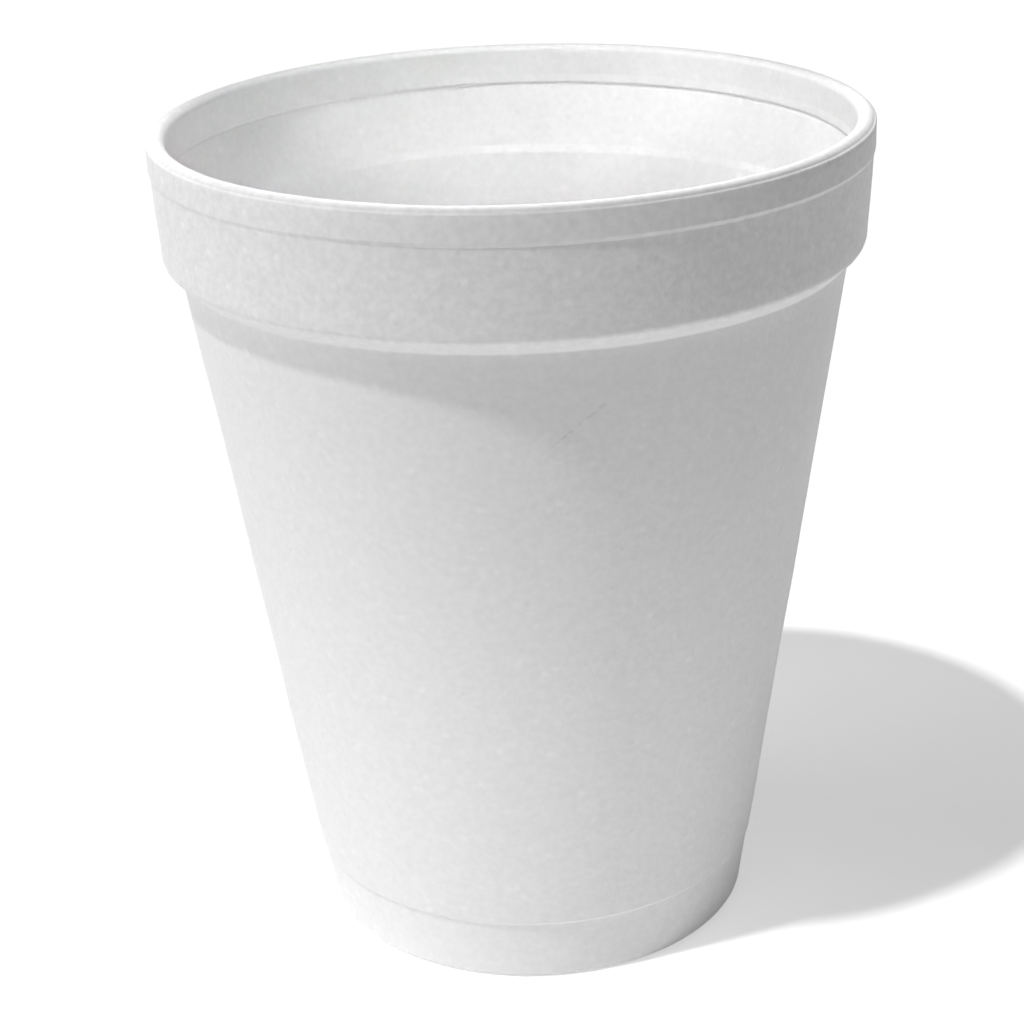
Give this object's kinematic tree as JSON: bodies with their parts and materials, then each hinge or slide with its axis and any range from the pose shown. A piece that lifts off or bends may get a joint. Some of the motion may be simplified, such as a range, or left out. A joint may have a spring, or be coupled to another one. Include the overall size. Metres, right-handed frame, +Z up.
{
  "type": "foam cup",
  "caption": "Disposable moulded bead-foam drinking cup with a rounded lip band, a tapering collar, a bevel down to a conical body and a recessed foot.",
  "frame": {"origin": "middle of the foot, on the table under the cup's axis", "axes": "+Z up along the cup's axis, out of its mouth; the cup is round, so X and Y have no marked side"},
  "size_m": [0.08, 0.08, 0.0955],
  "materials": {
    "foam": "matt white moulded bead foam with a faint mottle"
  },
  "bodies": {
    "root": {"foam_cup": "foam"}
  },
  "joints": []
}
